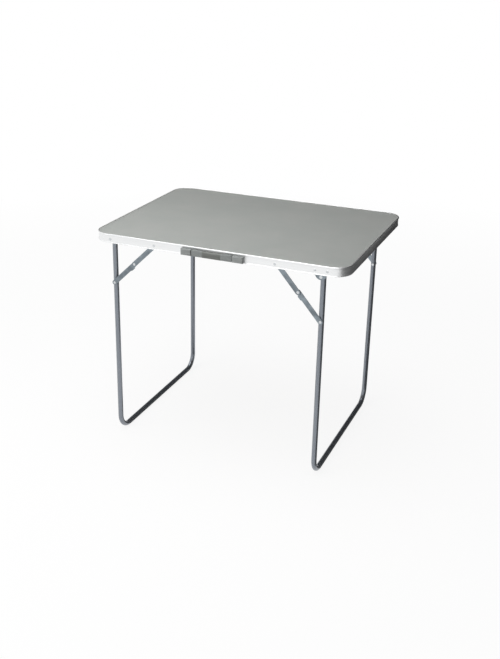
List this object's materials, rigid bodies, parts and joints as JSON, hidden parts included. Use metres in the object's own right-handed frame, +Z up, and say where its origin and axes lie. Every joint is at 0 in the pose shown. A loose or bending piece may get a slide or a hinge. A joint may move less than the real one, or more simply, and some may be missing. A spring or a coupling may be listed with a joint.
{
  "type": "folding table",
  "caption": "Light folding table: grey board in a shallow aluminium rim, U-shaped tube legs held by folding braces, strap handle on one long side.",
  "frame": {"origin": "on the floor under the middle of the board", "axes": "+Z up, +X along the long side towards the leg frame with the low brackets, the handle on the -Y side"},
  "size_m": [0.8, 0.6115, 0.68],
  "materials": {
    "grey_laminate": "grey melamine laminate on fibreboard",
    "rim_aluminium": "satin anodised",
    "leg_enamel": "grey powder-coated steel tube",
    "strut_zinc": "zinc-plated strip",
    "rivet_steel": "plated rivet",
    "zinc_steel": "zinc-plated screw",
    "cap_plastic": "moulded grey polypropylene",
    "grip_plastic": "moulded grey polypropylene",
    "strap_plastic": "flexible polypropylene strap"
  },
  "bodies": {
    "table_top": {"bracket_rivets": "rivet_steel", "handle_cap_left": "cap_plastic", "handle_cap_right": "cap_plastic", "handle_screws": "zinc_steel", "handle_strap": "strap_plastic", "left_pivot_rivets": "rivet_steel", "left_pivot_sleeves": "rivet_steel", "left_rim_brace_rivets": "rivet_steel", "left_rim_brace_sleeves": "rivet_steel", "right_bracket_back": "strut_zinc", "right_bracket_front": "strut_zinc", "right_pivot_rivets": "rivet_steel", "right_pivot_sleeves": "rivet_steel", "right_rim_brace_rivets": "rivet_steel", "right_rim_brace_sleeves": "rivet_steel", "rim_frame": "rim_aluminium", "rim_joiner_plate": "strut_zinc", "rim_joiner_rivets": "rivet_steel", "tabletop_panel": "grey_laminate"},
    "handle": {"handle_grip": "grip_plastic"},
    "left_leg": {"left_leg_frame": "leg_enamel", "left_leg_brace_rivets": "rivet_steel", "left_leg_brace_washers": "rivet_steel"},
    "left_front_upper_strut": {"left_front_upper_strut": "strut_zinc", "left_front_knee_rivet_outer": "rivet_steel"},
    "left_front_lower_strut": {"left_front_lower_strut": "strut_zinc", "left_front_knee_rivet_inner": "rivet_steel"},
    "left_back_upper_strut": {"left_back_upper_strut": "strut_zinc", "left_back_knee_rivet_outer": "rivet_steel"},
    "left_back_lower_strut": {"left_back_lower_strut": "strut_zinc", "left_back_knee_rivet_inner": "rivet_steel"},
    "right_leg": {"right_leg_frame": "leg_enamel", "right_leg_brace_rivets": "rivet_steel", "right_leg_brace_washers": "rivet_steel"},
    "right_front_upper_strut": {"right_front_upper_strut": "strut_zinc", "right_front_knee_rivet_outer": "rivet_steel"},
    "right_front_lower_strut": {"right_front_lower_strut": "strut_zinc", "right_front_knee_rivet_inner": "rivet_steel"},
    "right_back_upper_strut": {"right_back_upper_strut": "strut_zinc", "right_back_knee_rivet_outer": "rivet_steel"},
    "right_back_lower_strut": {"right_back_lower_strut": "strut_zinc", "right_back_knee_rivet_inner": "rivet_steel"}
  },
  "joints": [
    {"name": "left_leg_fold", "type": "hinge", "parent": "table_top", "child": "left_leg", "pos_m": [-0.337, 0, 0.664], "axis": [0, -1, 0], "range_deg": [0, 90]},
    {"name": "left_front_upper_strut_swing", "type": "hinge", "parent": "table_top", "child": "left_front_upper_strut", "pos_m": [-0.19, -0.282, 0.664], "axis": [0, 1, 0], "range_deg": [0, 44.31]},
    {"name": "left_front_lower_strut_swing", "type": "hinge", "parent": "left_leg", "child": "left_front_lower_strut", "pos_m": [-0.337, -0.282, 0.5205], "axis": [0, -1, 0], "range_deg": [0, 45.7]},
    {"name": "left_back_upper_strut_swing", "type": "hinge", "parent": "table_top", "child": "left_back_upper_strut", "pos_m": [-0.19, 0.282, 0.664], "axis": [0, 1, 0], "range_deg": [0, 44.31]},
    {"name": "left_back_lower_strut_swing", "type": "hinge", "parent": "left_leg", "child": "left_back_lower_strut", "pos_m": [-0.337, 0.282, 0.5205], "axis": [0, -1, 0], "range_deg": [0, 45.7]},
    {"name": "right_leg_fold", "type": "hinge", "parent": "table_top", "child": "right_leg", "pos_m": [0.324, 0, 0.646], "axis": [0, 1, 0], "range_deg": [0, 90]},
    {"name": "right_front_upper_strut_swing", "type": "hinge", "parent": "table_top", "child": "right_front_upper_strut", "pos_m": [0.189, -0.282, 0.664], "axis": [0, -1, 0], "range_deg": [0, 39.18]},
    {"name": "right_front_lower_strut_swing", "type": "hinge", "parent": "right_leg", "child": "right_front_lower_strut", "pos_m": [0.324, -0.282, 0.507], "axis": [0, 1, 0], "range_deg": [0, 40.7]},
    {"name": "right_back_upper_strut_swing", "type": "hinge", "parent": "table_top", "child": "right_back_upper_strut", "pos_m": [0.189, 0.282, 0.664], "axis": [0, -1, 0], "range_deg": [0, 39.18]},
    {"name": "right_back_lower_strut_swing", "type": "hinge", "parent": "right_leg", "child": "right_back_lower_strut", "pos_m": [0.324, 0.282, 0.507], "axis": [0, 1, 0], "range_deg": [0, 40.7]},
    {"name": "handle_pull", "type": "slide", "parent": "table_top", "child": "handle", "axis": [0, -1, 0], "range_m": [0, 0.018], "stiffness_N_per_m": 300, "deforming": ["handle_strap"]}
  ],
  "couplings": [
    {"joint": "left_front_upper_strut_swing", "follows": "left_leg_fold", "ratio": 0.49233},
    {"joint": "left_front_lower_strut_swing", "follows": "left_leg_fold", "ratio": 0.50767},
    {"joint": "left_back_upper_strut_swing", "follows": "left_leg_fold", "ratio": 0.49233},
    {"joint": "left_back_lower_strut_swing", "follows": "left_leg_fold", "ratio": 0.50767},
    {"joint": "right_front_upper_strut_swing", "follows": "right_leg_fold", "ratio": 0.4353},
    {"joint": "right_front_lower_strut_swing", "follows": "right_leg_fold", "ratio": 0.45212},
    {"joint": "right_back_upper_strut_swing", "follows": "right_leg_fold", "ratio": 0.4353},
    {"joint": "right_back_lower_strut_swing", "follows": "right_leg_fold", "ratio": 0.45212}
  ]
}
